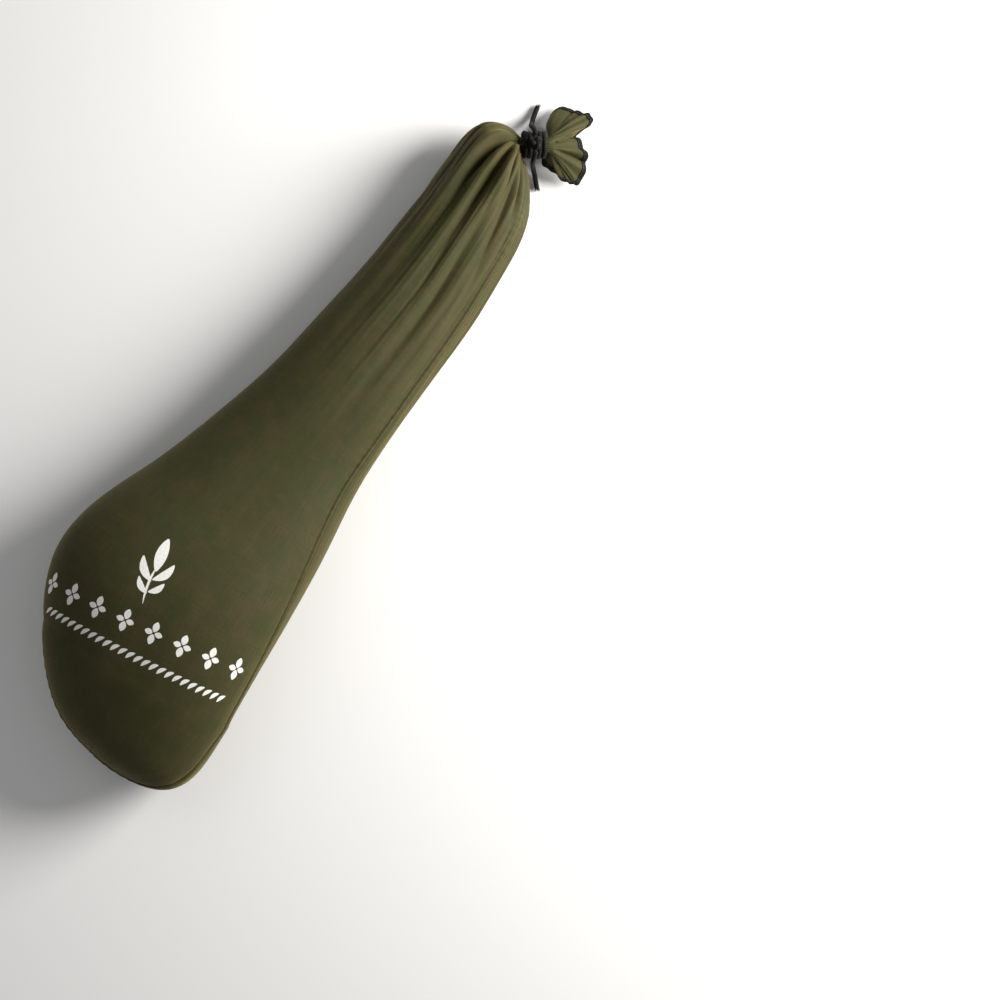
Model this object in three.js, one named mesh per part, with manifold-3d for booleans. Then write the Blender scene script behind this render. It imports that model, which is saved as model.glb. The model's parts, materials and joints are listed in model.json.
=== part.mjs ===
// A cured ham in its cloth bag, lying on its flat side on a table.
//
// Millimetres. +X runs along the leg from the butt to the foot, +Y across it, +Z up from the table.
// The origin is on the table, under the middle of the bag. The bag is a loose sock of cloth with one
// open end. It is gathered into a narrow neck past the hoof, and a cord is wound round that neck and
// knotted. The cloth beyond the cord fans out and droops to the table. The ham lies inside the bag.

import * as THREE from "three";
import Module from "manifold-3d";
import { mergeVertices } from "three/addons/utils/BufferGeometryUtils.js";

// ---------------------------------------------------------------- driving dimensions

const BODY_LENGTH = 666; // bag, from the butt's end to where it starts to close round the hoof
const BUTT_WIDTH = 247; // bag, at its widest
const BUTT_HEIGHT = 138; // bag, at its thickest
const SHANK_WIDTH = 116; // bag, where it starts to close
const SHANK_HEIGHT = 78;
const BUTT_SWING = 82; // how far the butt's middle lies to the +Y side of the neck

const CLOTH = 1.2; // the bag's wall, with its small creases
const HAM_GAP = 0.8; // clearance between the ham and the cloth
const HAM_END_GAP = 6; // clearance at the butt's end
const GATHERED_WALL = 5.5; // the bunched cloth inside the neck
const FIT_GAP = 0.4; // clearance between pieces that touch

const FOOT_LENGTH = 74; // ham, past the end of the bag's body
const SHANK_BONE = 70; // ham, width of the lower leg
const FOOT_WIDTH = 48;
const HOOF_WIDTH = 56;
const HOOF_CLEFT = { wide: 5, deep: 27 };
const DEWCLAW = { length: 17, radius: 7, back: 41, side: 20, apart: 19 }; // back: from the hoof's tip

const CLOSE_ROOM = 38; // bag, from the hoof's tip to the neck
const CLOSE_SIDE = 9.5; // the neck's place across the leg
const NECK_RADIUS = 9;
const NECK_HEIGHT = 34; // of the neck's axis above the table
const NECK_TURN = THREE.MathUtils.degToRad(-59); // from +X towards -Y
const NECK_DROOP = 0.1; // fall of the neck for each millimetre along it
const NECK_SPARE = 1.5; // bare neck at each side of the cord

const CORD_DIAMETER = 5;
const CORD_TURNS = 5;
const KNOT_RADII = { along: 7, across: 8, high: 5.5 };

const TAIL_LENGTH = 48; // cloth beyond the neck
const TAIL_TURN = THREE.MathUtils.degToRad(-66); // the fan's middle, from +X towards -Y
const TAIL_SPREAD = THREE.MathUtils.degToRad(52); // to each side of its middle
const TAIL_HEIGHT = 26; // thickness of the fan at its mouth
const TAIL_REST = 2; // its lower edge above the table

// How the mesh is divided.
const AROUND = 32;
const ALONG_BODY = 28;
const ALONG_CLOSE = 9;
const ALONG_NECK = 2;
const ALONG_TAIL = 6;
const BALL = [14, 10]; // a ball's segments round and down
const AROUND_TIE = 22;
const TURN_STEPS = 3; // of the arc that shows of one turn of cord
const END_SIDES = 8;
const WELD = 1e-4; // vertices this close are one

// The shape along the leg. at: share of BODY_LENGTH. round: how far the butt's end has opened.
// bulge: 0 for the shank's size, 1 for the butt's. swing: share of BUTT_SWING. under: height of the
// underside in millimetres, where what would lie below the table is pressed flat against it.
const STATIONS = [
  { at: 0, round: 0, bulge: 1, swing: 0.17, under: 52 },
  { at: 0.006, round: 0.28, bulge: 1, swing: 0.27, under: 31 },
  { at: 0.022, round: 0.515, bulge: 1, swing: 0.39, under: 15 },
  { at: 0.047, round: 0.668, bulge: 1, swing: 0.53, under: 4 },
  { at: 0.093, round: 0.8, bulge: 1, swing: 0.69, under: -3 },
  { at: 0.156, round: 0.915, bulge: 1, swing: 0.86, under: -5 },
  { at: 0.25, round: 1, bulge: 1, swing: 1, under: -6 },
  { at: 0.344, round: 1, bulge: 0.924, swing: 0.95, under: -6 },
  { at: 0.453, round: 1, bulge: 0.649, swing: 0.77, under: -5 },
  { at: 0.562, round: 1, bulge: 0.397, swing: 0.64, under: -2 },
  { at: 0.671, round: 1, bulge: 0.229, swing: 0.48, under: 2 },
  { at: 0.781, round: 1, bulge: 0.145, swing: 0.36, under: 1 },
  { at: 0.89, round: 1, bulge: 0.076, swing: 0.24, under: -2 },
  { at: 1, round: 1, bulge: 0, swing: 0.19, under: -3 },
];
const ROUND_ABOVE = 2.2; // superellipse powers of a section's upper and lower half
const ROUND_BELOW = 2.7;

// ---------------------------------------------------------------- small helpers

const { lerp, smoothstep } = THREE.MathUtils;
const vec = (x, y, z) => new THREE.Vector3(x, y, z);
const turnOf = (i) => (i / AROUND) * 2 * Math.PI;
const power = (value, p) => Math.sign(value) * Math.abs(value) ** p;

// A column of STATIONS as a smooth curve whose x is the place along the leg.
const column = (value) =>
  new THREE.SplineCurve(
    STATIONS.map((s) => new THREE.Vector2(s.at * BODY_LENGTH, value(s))),
  );
const width = column((s) => s.round * lerp(SHANK_WIDTH, BUTT_WIDTH, s.bulge));
const height = column(
  (s) => s.round * lerp(SHANK_HEIGHT, BUTT_HEIGHT, s.bulge),
);
const centre = column((s) => s.swing * BUTT_SWING);
const under = column((s) => s.under);

// A point of a rounded section that stands in the plane at x.
function sectionPoint(x, middle, half, low, tall, turn) {
  const p = 2 / (Math.sin(turn) > 0 ? ROUND_ABOVE : ROUND_BELOW);
  return vec(
    x,
    middle + half * power(Math.cos(turn), p),
    low + (tall / 2) * (1 + power(Math.sin(turn), p)),
  );
}

const pressFlat = (point, floor) => point.setZ(Math.max(point.z, floor));

// A closed surface from rings of AROUND points: poles close its ends, and a second skin inside it
// makes it a shell whose mouth is at the last ring.
function skin(rings, firstPole, lastPole, inner) {
  const positions = [];
  const index = [];
  const add = (p) => positions.push(p.x, p.y, p.z) / 3 - 1;
  const cap = (pole, ring, outwards) => {
    const tip = add(pole);
    for (let i = 0; i < AROUND; i++) {
      const next = (i + 1) % AROUND;
      index.push(...(outwards ? [tip, ring[next], ring[i]] : [tip, ring[i], ring[next]]));
    }
  };
  const strip = (a, b) => {
    for (let i = 0; i < AROUND; i++) {
      const next = (i + 1) % AROUND;
      index.push(a[i], a[next], b[next], a[i], b[next], b[i]);
    }
  };
  const outer = rings.map((ring) => ring.map(add));
  cap(firstPole, outer[0], true);
  for (let j = 1; j < outer.length; j++) strip(outer[j - 1], outer[j]);
  if (lastPole) cap(lastPole, outer.at(-1), false);
  if (inner) {
    const inside = inner.rings.map((ring) => ring.map(add));
    strip(outer.at(-1), inside.at(-1));
    for (let j = inside.length - 1; j > 0; j--) strip(inside[j], inside[j - 1]);
    cap(inner.pole, inside[0], false);
  }
  const geometry = new THREE.BufferGeometry();
  geometry.setAttribute("position", new THREE.Float32BufferAttribute(positions, 3));
  geometry.setIndex(index);
  geometry.computeVertexNormals();
  return geometry;
}

// ---------------------------------------------------------------- the neck and its frame

const tieLength = CORD_TURNS * CORD_DIAMETER;
const neckLength = tieLength + 2 * NECK_SPARE;
const neckAxis = vec(Math.cos(NECK_TURN), Math.sin(NECK_TURN), -NECK_DROOP).normalize();
const neckLeft = vec(-Math.sin(NECK_TURN), Math.cos(NECK_TURN), 0);
const neckUp = vec().crossVectors(neckAxis, neckLeft);
const closeLength = FOOT_LENGTH + CLOSE_ROOM;
const neckStart = vec(BODY_LENGTH + closeLength, CLOSE_SIDE, NECK_HEIGHT);
const neckEnd = neckStart.clone().addScaledVector(neckAxis, neckLength);
const tieMiddle = neckStart.clone().lerp(neckEnd, 0.5);

const neckRadial = (turn) =>
  vec(0, 0, 0)
    .addScaledVector(neckLeft, Math.cos(turn))
    .addScaledVector(neckUp, Math.sin(turn));
const neckPoint = (from, turn) => from.clone().addScaledVector(neckRadial(turn), NECK_RADIUS);

// ---------------------------------------------------------------- the bag

function bodyRing(t) {
  const x = width.getPoint(t).x;
  return Array.from({ length: AROUND }, (_, i) =>
    pressFlat(
      sectionPoint(
        x,
        centre.getPoint(t).y,
        width.getPoint(t).y / 2,
        under.getPoint(t).y,
        height.getPoint(t).y,
        turnOf(i),
      ),
      0,
    ),
  );
}

// The cloth closes round the hoof: each line along the bag bends from the body into the neck. On the
// far side it comes in steeply, and on the near side it runs almost straight along the neck.
const STEEP_LEFT = THREE.MathUtils.degToRad(38);
const STEEP_RIGHT = THREE.MathUtils.degToRad(96);
const BEND_OUT = { left: 0.5, right: 0.6 }; // reach of the bends, as shares of the closing's length
const BEND_IN = { left: 0.57, right: 0.36, top: 0.3 };
const BUNCHED_FROM = 0.6; // share of the closing after which the cloth bunches up
const SPREAD_BY = 0.5; // share of the tail where it is thin again

function closingLine(turn, from) {
  const right = (1 - Math.cos(turn)) / 2;
  const steep = lerp(STEEP_LEFT, STEEP_RIGHT, right);
  const arrive = neckAxis
    .clone()
    .multiplyScalar(Math.cos(steep))
    .addScaledVector(neckRadial(turn), -Math.sin(steep));
  const side = Math.abs(Math.cos(turn));
  const reachIn = lerp(BEND_IN.top, lerp(BEND_IN.left, BEND_IN.right, right), side);
  const to = neckPoint(neckStart, turn);
  return new THREE.CubicBezierCurve3(
    from,
    from.clone().add(vec(lerp(BEND_OUT.left, BEND_OUT.right, right) * closeLength, 0, 0)),
    to.clone().addScaledVector(arrive, -reachIn * closeLength),
    to,
  );
}

// The fan of cloth beyond the neck, which leaves it straight and ends level.
const TAIL_BENDS = { first: 0.2, last: 0.33 }; // reach of its two bends, as shares of its length

function tailLine(turn) {
  const from = neckPoint(neckEnd, turn);
  const heading = TAIL_TURN + TAIL_SPREAD * Math.cos(turn);
  const out = vec(Math.cos(heading), Math.sin(heading), 0);
  const to = neckEnd.clone().addScaledVector(out, TAIL_LENGTH);
  to.z = TAIL_REST + (TAIL_HEIGHT / 2) * (1 + Math.sin(turn));
  return new THREE.CubicBezierCurve3(
    from,
    from.clone().addScaledVector(neckAxis, TAIL_LENGTH * TAIL_BENDS.first),
    to.clone().addScaledVector(out, -TAIL_LENGTH * TAIL_BENDS.last),
    to,
  );
}

function bagRings() {
  const rings = [];
  const walls = [];
  for (let j = 1; j <= ALONG_BODY; j++) {
    rings.push(bodyRing(j / ALONG_BODY));
    walls.push(CLOTH);
  }
  const lines = rings.at(-1).map((point, i) => closingLine(turnOf(i), point));
  for (let j = 1; j <= ALONG_CLOSE; j++) {
    const t = j / ALONG_CLOSE;
    rings.push(lines.map((line) => pressFlat(line.getPoint(t), 0)));
    walls.push(lerp(CLOTH, GATHERED_WALL, smoothstep(t, BUNCHED_FROM, 1)));
  }
  for (let j = 1; j <= ALONG_NECK; j++) {
    const from = neckStart.clone().lerp(neckEnd, j / ALONG_NECK);
    rings.push(Array.from({ length: AROUND }, (_, i) => neckPoint(from, turnOf(i))));
    walls.push(GATHERED_WALL);
  }
  const tail = Array.from({ length: AROUND }, (_, i) => tailLine(turnOf(i)));
  for (let j = 1; j <= ALONG_TAIL; j++) {
    const t = j / ALONG_TAIL;
    rings.push(tail.map((line) => pressFlat(line.getPoint(t), 0)));
    walls.push(lerp(GATHERED_WALL, CLOTH, smoothstep(t, 0, SPREAD_BY)));
  }
  return { rings, walls };
}

// The same rings moved inwards by each ring's wall.
function insideOf(rings, walls, pole) {
  return rings.map((ring, j) => {
    const before = rings[j - 1];
    const after = rings[j + 1] ?? ring;
    return ring.map((point, i) => {
      const along = after[i].clone().sub(before ? before[i] : pole);
      const round = ring[(i + 1) % AROUND].clone().sub(ring[(i + AROUND - 1) % AROUND]);
      const outwards = vec().crossVectors(round, along).normalize();
      return pressFlat(point.clone().addScaledVector(outwards, -walls[j]), CLOTH);
    });
  });
}

function bagGeometry() {
  const pole = vec(0, centre.getPoint(0).y, under.getPoint(0).y);
  const { rings, walls } = bagRings();
  const insidePole = pole.clone().add(vec(CLOTH, 0, 0));
  return skin(rings, pole, null, { rings: insideOf(rings, walls, pole), pole: insidePole });
}

// ---------------------------------------------------------------- the ham

// The meat fills the bag at the butt and thins to the shank bone, the foot and the hoof.
const inset = CLOTH + HAM_GAP;
const FILLED_TO = 0.3; // share of the body that the meat fills
const FILL_SLACK = 0.965; // how full the bag is there
const SHANK_FLATNESS = 0.86; // the lower leg's thickness over its width

function hamRings() {
  const rings = [];
  for (let j = 1; j <= ALONG_BODY; j++) {
    const t = j / ALONG_BODY;
    const share = width.getPoint(t).x / BODY_LENGTH;
    const x = lerp(HAM_END_GAP, BODY_LENGTH, share);
    const thin = smoothstep(share, FILLED_TO, 1);
    const full = width.getPoint(t).y * FILL_SLACK - 2 * inset;
    const across = lerp(full, Math.min(full, SHANK_BONE), thin);
    const bottom = under.getPoint(t).y;
    const low = Math.max(bottom, 0) + inset;
    const tall = (bottom + height.getPoint(t).y - inset - low) * FILL_SLACK;
    const high = lerp(tall, Math.min(tall, SHANK_BONE * SHANK_FLATNESS), thin);
    rings.push(
      Array.from({ length: AROUND }, (_, i) =>
        pressFlat(
          sectionPoint(x, centre.getPoint(t).y, across / 2, low, high, turnOf(i)),
          inset,
        ),
      ),
    );
  }
  return rings;
}

// The foot: share of FOOT_LENGTH, width, and how far it has swung to the leg's +Y side.
const FOOT = [
  { at: 0.3, across: FOOT_WIDTH + 6, swing: 3 },
  { at: 0.55, across: FOOT_WIDTH, swing: 6 },
  { at: 0.8, across: HOOF_WIDTH, swing: 9 },
  { at: 0.95, across: HOOF_WIDTH * 0.86, swing: 11 },
  { at: 1, across: HOOF_WIDTH * 0.5, swing: 12 },
];
const FOOT_FLATNESS = 0.8; // its thickness over its width
const HOOF_TIP = 2; // how far the hoof's end bulges past its last section

function footRings() {
  const start = centre.getPoint(1).y;
  return FOOT.map(({ at, across, swing }) =>
    Array.from({ length: AROUND }, (_, i) =>
      pressFlat(
        sectionPoint(
          BODY_LENGTH + at * FOOT_LENGTH,
          start + swing,
          across / 2,
          NECK_HEIGHT - (across * FOOT_FLATNESS) / 2,
          across * FOOT_FLATNESS,
          turnOf(i),
        ),
        inset,
      ),
    ),
  );
}

const wasm = await Module();
wasm.setup();

function solidOf(geometry) {
  const bare = geometry.clone();
  for (const name of Object.keys(bare.attributes)) if (name !== "position") bare.deleteAttribute(name);
  const merged = mergeVertices(bare, WELD);
  return new wasm.Manifold(
    new wasm.Mesh({
      numProp: 3,
      vertProperties: merged.attributes.position.array,
      triVerts: new Uint32Array(merged.index.array),
    }),
  );
}

function geometryOf(solid) {
  const { vertProperties, triVerts } = solid.getMesh();
  const geometry = new THREE.BufferGeometry();
  geometry.setAttribute("position", new THREE.BufferAttribute(vertProperties, 3));
  geometry.setIndex(new THREE.BufferAttribute(triVerts, 1));
  geometry.computeVertexNormals();
  return geometry;
}

function dewclaw(side) {
  const claw = new THREE.SphereGeometry(DEWCLAW.radius, ...BALL);
  claw.scale(DEWCLAW.length / 2 / DEWCLAW.radius, 1, 1);
  claw.translate(
    BODY_LENGTH + FOOT_LENGTH - DEWCLAW.back,
    centre.getPoint(1).y - DEWCLAW.side,
    NECK_HEIGHT + (side * DEWCLAW.apart) / 2,
  );
  return solidOf(claw);
}

function hamGeometry() {
  const rings = [...hamRings(), ...footRings()];
  const firstPole = rings[0]
    .reduce((sum, point) => sum.add(point), vec())
    .divideScalar(AROUND)
    .setX(HAM_END_GAP);
  const lastPole = vec(
    BODY_LENGTH + FOOT_LENGTH + HOOF_TIP,
    centre.getPoint(1).y + FOOT.at(-1).swing,
    NECK_HEIGHT,
  );
  const cleft = new THREE.BoxGeometry(
    HOOF_CLEFT.deep * 2,
    HOOF_WIDTH * 2,
    HOOF_CLEFT.wide,
  ).translate(lastPole.x, lastPole.y, lastPole.z);
  const leg = solidOf(skin(rings, firstPole, lastPole));
  return geometryOf(leg.add(dewclaw(1)).add(dewclaw(-1)).subtract(solidOf(cleft)));
}

// ---------------------------------------------------------------- the cord

// Turns of cord side by side, as one ring round the neck's axis.
const TURN_ARC = Math.PI * 0.8; // how much of a turn's section shows

function turnsGeometry() {
  const bore = NECK_RADIUS + FIT_GAP;
  const radius = CORD_DIAMETER / 2;
  const profile = [new THREE.Vector2(bore, -tieLength / 2)];
  for (let turn = 0; turn < CORD_TURNS; turn++) {
    const middle = -tieLength / 2 + (turn + 0.5) * CORD_DIAMETER;
    for (let step = 0; step <= TURN_STEPS; step++) {
      const angle = (step / TURN_STEPS - 0.5) * TURN_ARC;
      profile.push(
        new THREE.Vector2(
          bore + radius + radius * Math.cos(angle),
          middle + radius * Math.sin(angle),
        ),
      );
    }
  }
  profile.push(new THREE.Vector2(bore, tieLength / 2), profile[0].clone());
  return new THREE.LatheGeometry(profile, AROUND_TIE);
}

const knotCentre = tieMiddle
  .clone()
  .addScaledVector(neckUp, NECK_RADIUS + 2 * FIT_GAP + CORD_DIAMETER + KNOT_RADII.high);

function knotGeometry() {
  const knot = new THREE.SphereGeometry(1, ...BALL);
  return knot.scale(KNOT_RADII.along, KNOT_RADII.across, KNOT_RADII.high);
}

// The cord's two free ends. side: 1 for the neck's left. Each point is its place along the neck, out from
// the knot's side and up from the knot's centre. The cord falls beside the neck and ends on the table.
const ENDS = [
  {
    name: "tie_end_lower",
    side: -1,
    points: [
      [0, 0, -1.5],
      [-0.8, 3.1, -2.7],
      [-1.7, 5.9, -5.3],
      [-2.4, 8.2, -9],
      [-2.9, 9.9, -13.5],
      [-3.2, 11, -18.3],
      [-3.3, 11.6, -23.2],
      [-3.2, 12.2, -28.1],
      [-2.9, 13, -33],
      [-2.5, 14.4, -37.7],
      [-1.9, 16.6, -42],
      [-1.1, 19.8, -45.7],
      [-0.3, 23.9, -48.3],
      [0.6, 28.6, -49.6],
      [1.6, 33.6, -50],
    ],
  },
  {
    name: "tie_end_upper",
    side: 1,
    points: [
      [0, 0, -1.5],
      [-0.9, 3, -2.6],
      [-1.9, 5.8, -5.1],
      [-2.8, 8.1, -8.8],
      [-3.6, 9.8, -13.3],
      [-4.2, 10.9, -18.1],
      [-4.6, 11.7, -23],
      [-4.8, 12.6, -27.9],
      [-4.7, 13.9, -32.6],
      [-4.3, 15.9, -37.2],
      [-3.6, 18.8, -41.3],
      [-2.6, 22.5, -44.8],
      [-1.2, 26.7, -47.4],
      [0.5, 31.2, -49],
      [2.4, 35.8, -49.9],
    ],
  },
];

function endGeometry({ side, points }) {
  const flank = KNOT_RADII.across + FIT_GAP;
  const lowest = CORD_DIAMETER / 2 + FIT_GAP - knotCentre.z;
  const route = new THREE.CatmullRomCurve3(
    points.map(([along, out, up]) => vec(along, side * (flank + out), Math.max(up, lowest))),
  );
  const section = new THREE.Shape(
    Array.from({ length: END_SIDES }, (_, i) => {
      const angle = (i / END_SIDES) * 2 * Math.PI;
      return new THREE.Vector2(Math.cos(angle), Math.sin(angle)).multiplyScalar(CORD_DIAMETER / 2);
    }),
  );
  return new THREE.ExtrudeGeometry(section, { steps: points.length - 1, extrudePath: route });
}

// ---------------------------------------------------------------- the assembly

const cloth = new THREE.MeshStandardMaterial({ color: 0x56533a, roughness: 0.78, metalness: 0 });
const rind = new THREE.MeshStandardMaterial({ color: 0x9a6636, roughness: 0.5, metalness: 0 });
const blackCord = new THREE.MeshStandardMaterial({ color: 0x0c0c0d, roughness: 0.85, metalness: 0 });

function piece(name, geometry, material) {
  const mesh = new THREE.Mesh(geometry, material);
  mesh.name = name;
  return mesh;
}

const turns = piece("tie_turns", turnsGeometry(), blackCord);
turns.position.copy(tieMiddle);
turns.quaternion.setFromUnitVectors(vec(0, 1, 0), neckAxis);

const knot = piece("tie_knot", knotGeometry(), blackCord);
knot.position.copy(knotCentre);
knot.rotation.z = NECK_TURN;

const ends = ENDS.map((end) => {
  const mesh = piece(end.name, endGeometry(end), blackCord);
  mesh.position.copy(knotCentre);
  mesh.rotation.z = NECK_TURN;
  return mesh;
});

const held = new THREE.Group();
held.add(piece("ham", hamGeometry(), rind), piece("bag", bagGeometry(), cloth), turns, knot);

// The origin goes to the middle of the bag, on the table.
const box = new THREE.Box3().setFromObject(held, true);
const bagged = new THREE.Group();
bagged.add(held, ...ends);
bagged.position.set(-(box.min.x + box.max.x) / 2, -(box.min.y + box.max.y) / 2, -box.min.z);

const group = new THREE.Group();
group.add(bagged);

export default group;
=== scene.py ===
"""The looks of a cured ham in its tied cloth bag.

Metres. +X runs along the leg from the butt to the foot, +Y across it, +Z up from the table. The
bag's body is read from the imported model, and its pleats, hem, stitches, print and cord are made
here.
"""

import json
import math

import bpy
import numpy as np
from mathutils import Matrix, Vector
from mathutils.bvhtree import BVHTree

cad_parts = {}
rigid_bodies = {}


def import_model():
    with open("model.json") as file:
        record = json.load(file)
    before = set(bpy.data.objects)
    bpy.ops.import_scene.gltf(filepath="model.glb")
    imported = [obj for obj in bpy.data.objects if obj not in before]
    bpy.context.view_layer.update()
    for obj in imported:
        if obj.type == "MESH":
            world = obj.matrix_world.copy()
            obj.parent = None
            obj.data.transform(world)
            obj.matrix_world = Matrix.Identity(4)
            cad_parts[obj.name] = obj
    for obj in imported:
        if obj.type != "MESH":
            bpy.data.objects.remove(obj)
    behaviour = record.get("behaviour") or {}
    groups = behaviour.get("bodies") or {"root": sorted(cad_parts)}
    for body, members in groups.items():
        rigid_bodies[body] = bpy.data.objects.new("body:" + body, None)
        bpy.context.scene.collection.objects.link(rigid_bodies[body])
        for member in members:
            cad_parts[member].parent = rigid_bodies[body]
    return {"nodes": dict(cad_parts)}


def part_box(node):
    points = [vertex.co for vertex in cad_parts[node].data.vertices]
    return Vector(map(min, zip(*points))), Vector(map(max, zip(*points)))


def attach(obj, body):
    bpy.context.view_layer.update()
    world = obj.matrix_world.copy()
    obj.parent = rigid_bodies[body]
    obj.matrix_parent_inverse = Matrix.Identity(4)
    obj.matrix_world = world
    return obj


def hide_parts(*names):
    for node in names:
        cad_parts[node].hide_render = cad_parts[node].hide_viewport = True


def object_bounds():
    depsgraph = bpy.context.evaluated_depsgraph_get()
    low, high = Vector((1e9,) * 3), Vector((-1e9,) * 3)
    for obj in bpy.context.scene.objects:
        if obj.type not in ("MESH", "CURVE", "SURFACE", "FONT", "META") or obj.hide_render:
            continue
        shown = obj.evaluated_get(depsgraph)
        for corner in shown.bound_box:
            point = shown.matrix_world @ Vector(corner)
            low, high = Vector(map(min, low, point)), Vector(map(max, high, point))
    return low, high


for left_over in list(bpy.data.objects):
    bpy.data.objects.remove(left_over)
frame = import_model()
cad_low, cad_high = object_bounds()

MM = 0.001
rng = np.random.default_rng(7)


# ---------- small helpers


def unit(vector):
    vector = np.asarray(vector, float)
    return vector / np.linalg.norm(vector, axis=-1, keepdims=True)


def lerp(a, b, share):
    return a + (b - a) * share


def ease(value, low=0.0, high=1.0):
    """0 below low, 1 above high, and a smooth step between them."""
    share = np.clip((value - low) / (high - low), 0, 1)
    return share * share * (3 - 2 * share)


def middle(node):
    low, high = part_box(node)
    return np.array((low + high) / 2)


def blurred(values, reach, axis=0):
    """Values averaged with their neighbours along an axis, with a bell of that reach in samples."""
    steps = np.arange(-int(3 * reach), int(3 * reach) + 1)
    bell = np.exp(-0.5 * (steps / reach) ** 2)
    bell /= bell.sum()
    padded = np.pad(
        values,
        [(len(steps) // 2,) * 2 if a == axis else (0, 0) for a in range(values.ndim)],
        mode="reflect",
        reflect_type="odd",
    )
    return np.apply_along_axis(np.convolve, axis, padded, bell, mode="valid")


def lengths_along(path):
    """Each point's distance along a path."""
    return np.concatenate([[0], np.cumsum(np.linalg.norm(np.diff(path, axis=0), axis=1))])


def at_each(places, known, values):
    """Three columns of values read off at places between the known ones."""
    return np.stack([np.interp(places, known, values[:, i]) for i in range(3)], 1)


def even_turns(sides):
    return np.linspace(0, math.tau, sides, endpoint=False)


def ring_faces(rows, sides):
    """Faces between rings of points, where rows pairs the rings."""
    nexts = np.roll(np.arange(sides), -1)
    return [
        (a * sides + i, a * sides + nexts[i], b * sides + nexts[i], b * sides + i)
        for a, b in rows
        for i in range(sides)
    ]


def add_object(name, data):
    piece = bpy.data.objects.new(name, data)
    bpy.context.scene.collection.objects.link(piece)
    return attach(piece, "root")


def mesh_of(name, points, faces, smooth=True):
    mesh = bpy.data.meshes.new(name)
    faces = [[int(corner) for corner in face] for face in faces]
    mesh.from_pydata(np.asarray(points).tolist(), [], faces)
    mesh.polygons.foreach_set("use_smooth", [smooth] * len(mesh.polygons))
    mesh.update()
    return mesh


# ---------- the neck's frame

NECK_TURN = math.radians(-59)  # the gathered neck, from +X towards -Y
NECK_DROOP = 0.1
NECK_RADIUS = 9 * MM
NECK_SPARE = 1.5 * MM
CORD_DIAMETER = 5 * MM
CORD_TURNS = 5
FIT_GAP = 0.4 * MM
LYING = 0.2 * MM  # the lowest that anything comes above the table

neck_level = np.array([math.cos(NECK_TURN), math.sin(NECK_TURN), 0])
neck_left = np.array([-math.sin(NECK_TURN), math.cos(NECK_TURN), 0])
neck_axis = unit([*neck_level[:2], -NECK_DROOP])
neck_up = np.cross(neck_axis, neck_left)
neck_length = CORD_TURNS * CORD_DIAMETER + 2 * NECK_SPARE
tie_middle = middle("tie_turns")
neck_start = tie_middle - neck_axis * neck_length / 2
neck_end = tie_middle + neck_axis * neck_length / 2


def neck_radial(angle):
    return np.cos(angle)[..., None] * neck_left + np.sin(angle)[..., None] * neck_up


# ---------- the camera

LENS = 100  # millimetres, on the usual 36 mm sensor
VIEW_WIDTH = 1.04  # seen at the bag's middle height
AIM_FROM_MIDDLE = (0.029, -0.235)  # the view's middle, from the bag's
AIM_HEIGHT = 0.05


def make_camera():
    data = bpy.data.cameras.new("camera")
    data.lens = LENS
    data.clip_end = 20
    camera = bpy.data.objects.new("camera", data)
    bpy.context.scene.collection.objects.link(camera)
    centre = middle("bag")
    away = VIEW_WIDTH * LENS / data.sensor_width
    camera.location = (*(centre[:2] + AIM_FROM_MIDDLE), AIM_HEIGHT + away)
    camera.rotation_euler = (0, 0, NECK_TURN)
    bpy.context.scene.camera = camera


make_camera()


# ---------- the cord's path

# Its two free ends: along the neck, out from the knot's side and up from the knot's centre, in
# millimetres. The cord falls beside the neck and ends on the table.
KNOT_ACROSS = 8 * MM
ENDS = {
    "lower": [
        (0, 0, -1.5), (-0.8, 3.1, -2.7), (-1.7, 5.9, -5.3), (-2.4, 8.2, -9), (-2.9, 9.9, -13.5),
        (-3.2, 11, -18.3), (-3.3, 11.6, -23.2), (-3.2, 12.2, -28.1), (-2.9, 13, -33),
        (-2.5, 14.4, -37.7), (-1.9, 16.6, -42), (-1.1, 19.8, -45.7), (-0.3, 23.9, -48.3),
        (0.6, 28.6, -49.6), (1.6, 33.6, -50),
    ],
    "upper": [
        (0, 0, -1.5), (-0.9, 3, -2.6), (-1.9, 5.8, -5.1), (-2.8, 8.1, -8.8), (-3.6, 9.8, -13.3),
        (-4.2, 10.9, -18.1), (-4.6, 11.7, -23), (-4.8, 12.6, -27.9), (-4.7, 13.9, -32.6),
        (-4.3, 15.9, -37.2), (-3.6, 18.8, -41.3), (-2.6, 22.5, -44.8), (-1.2, 26.7, -47.4),
        (0.5, 31.2, -49), (2.4, 35.8, -49.9),
    ],
}
END_SIDES = {"lower": -1, "upper": 1}
END_STEPS = 8  # of the smooth path between each two points


def smooth_path(points, steps):
    """A Catmull-Rom curve through the points, with that many steps between each two."""
    points = np.asarray(points, float)
    ends = [2 * points[0] - points[1], *points, 2 * points[-1] - points[-2]]
    made = []
    for a, b, c, d in zip(ends, ends[1:], ends[2:], ends[3:]):
        for t in np.arange(steps) / steps:
            made.append(
                b
                + 0.5 * t * (c - a)
                + t**2 * (a - 2.5 * b + 2 * c - 0.5 * d)
                + t**3 * (1.5 * (b - c) + 0.5 * (d - a))
            )
    return np.array([*made, points[-1]])


def end_path(name):
    side = END_SIDES[name]
    route = [
        middle("tie_knot")
        + neck_level * along * MM
        + neck_left * side * (KNOT_ACROSS + FIT_GAP + out * MM)
        + np.array([0, 0, up * MM])
        for along, out, up in ENDS[name]
    ]
    route = np.array(route)
    route[:, 2] = np.maximum(route[:, 2], CORD_DIAMETER / 2 + FIT_GAP)
    return smooth_path(route, END_STEPS)


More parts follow.
